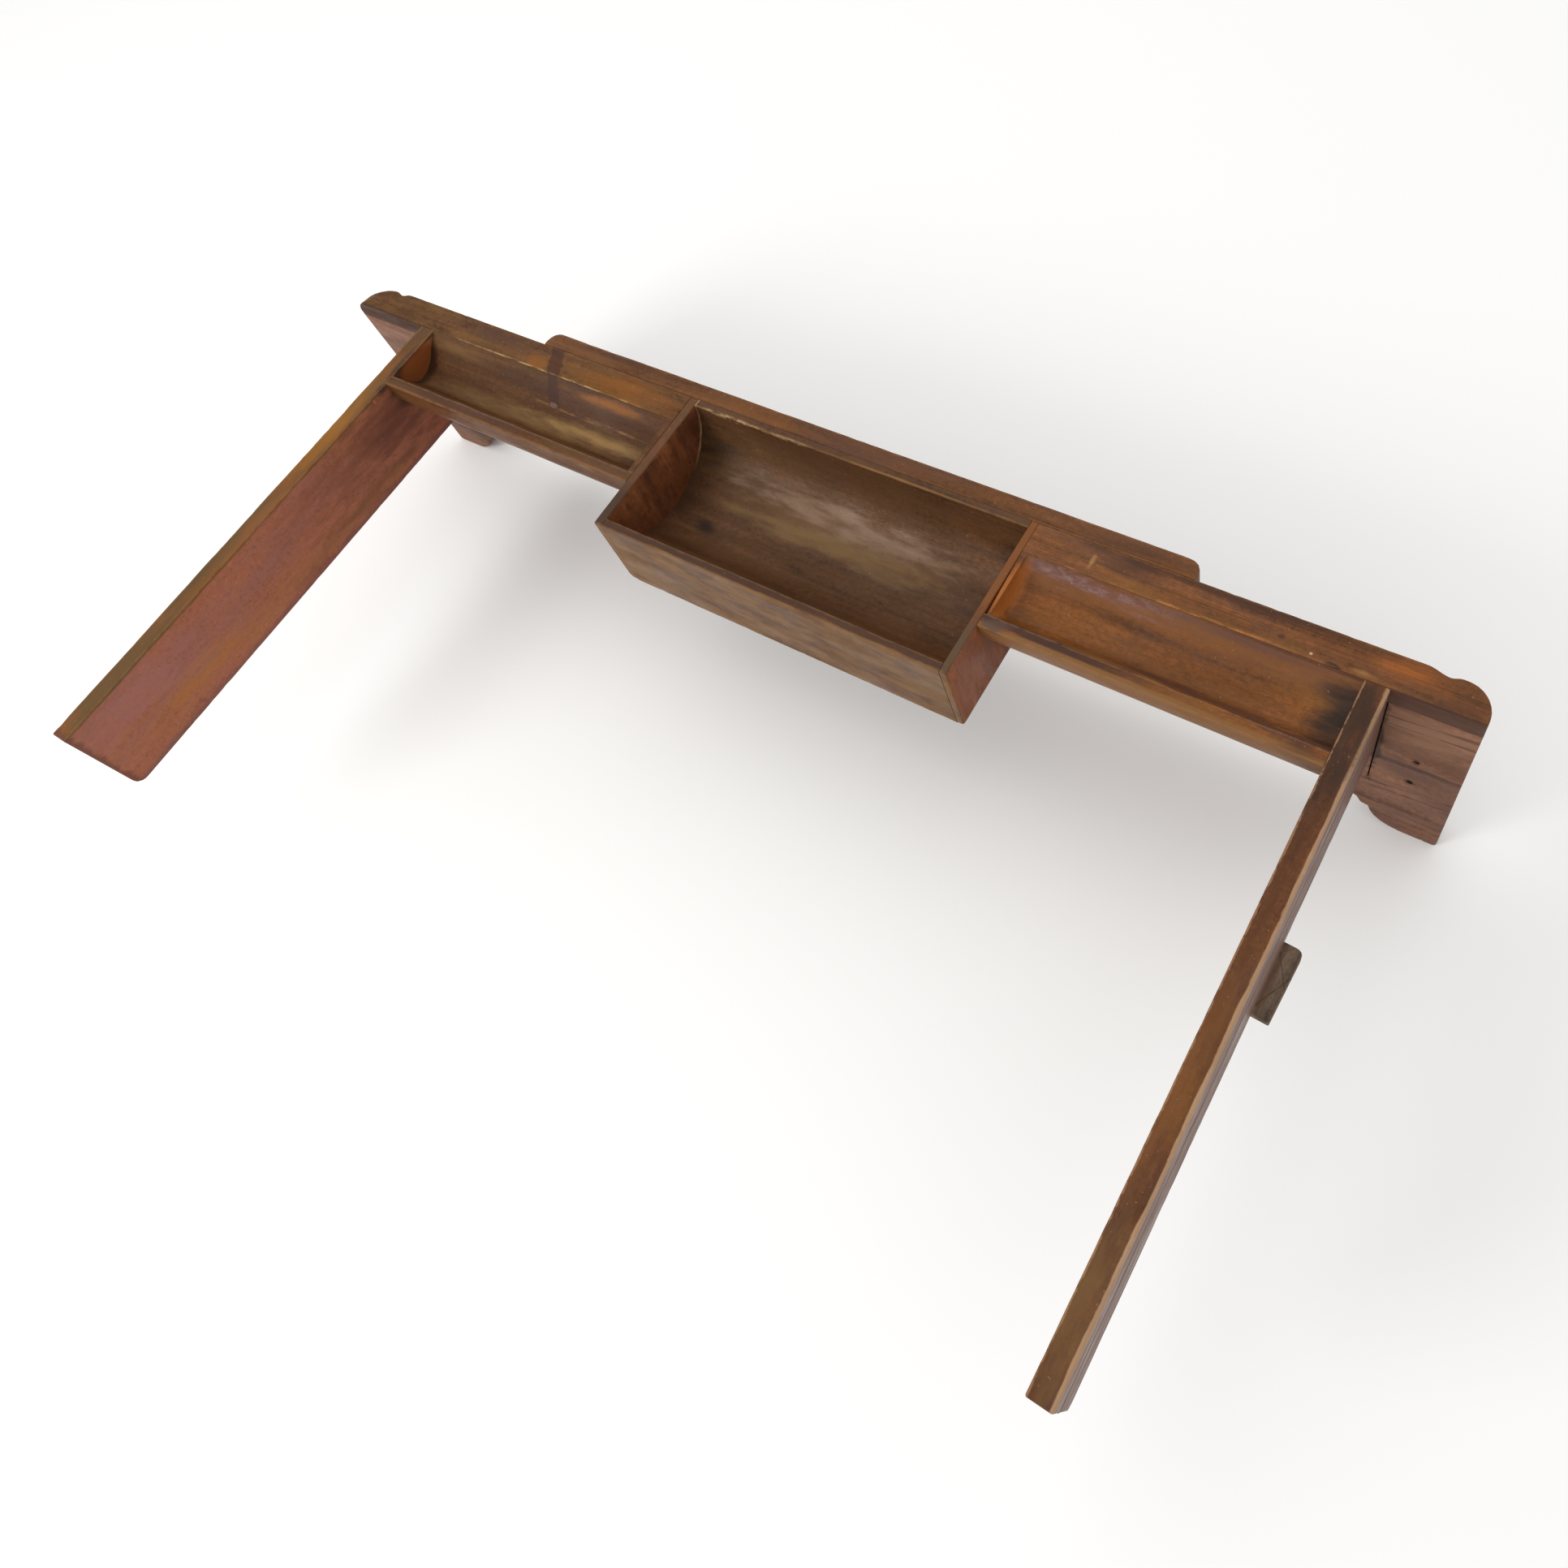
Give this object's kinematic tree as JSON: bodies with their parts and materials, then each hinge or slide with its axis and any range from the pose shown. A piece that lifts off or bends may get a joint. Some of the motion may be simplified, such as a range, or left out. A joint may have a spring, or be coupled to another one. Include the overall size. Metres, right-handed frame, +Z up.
{
  "type": "loom tray frame",
  "caption": "U-shaped wooden loom frame: a moulded back rail with arms on edge, and a deep scooped tray between shuttle troughs.",
  "frame": {"origin": "bottom centre of the whole frame's box, on the plane that the rail's feet stand on", "axes": "+X along the rail to the right, +Y to the rail's back, +Z up"},
  "size_m": [0.956, 0.4564, 0.188],
  "materials": {
    "rail_wood": "old varnished hardwood, worn",
    "cap_wood": "old varnished hardwood, orange-brown",
    "cleat_wood": "old varnished hardwood, dark",
    "arm_wood": "old varnished hardwood, worn edges",
    "tray_wood": "old varnished hardwood, dark inside",
    "tray_end_wood": "old varnished hardwood, orange",
    "trough_wood": "old varnished hardwood, worn",
    "lug_wood": "raw weathered wood",
    "dowel_wood": "raw wood",
    "nail_iron": "old dark iron"
  },
  "bodies": {
    "root": {"back_board": "rail_wood", "left_cap": "cap_wood", "right_cap": "cap_wood", "cap_dowels": "dowel_wood", "back_cleat": "cleat_wood", "cleat_screws": "nail_iron", "left_arm": "arm_wood", "right_arm": "arm_wood", "left_arm_filler": "rail_wood", "right_arm_filler": "rail_wood", "arm_nails": "nail_iron", "right_lug": "lug_wood", "lug_nails": "nail_iron", "tray_body": "tray_wood", "tray_left_end": "tray_end_wood", "tray_right_end": "tray_end_wood", "tray_nails": "nail_iron", "left_trough": "trough_wood", "right_trough": "trough_wood", "trough_nails": "nail_iron"}
  },
  "joints": []
}
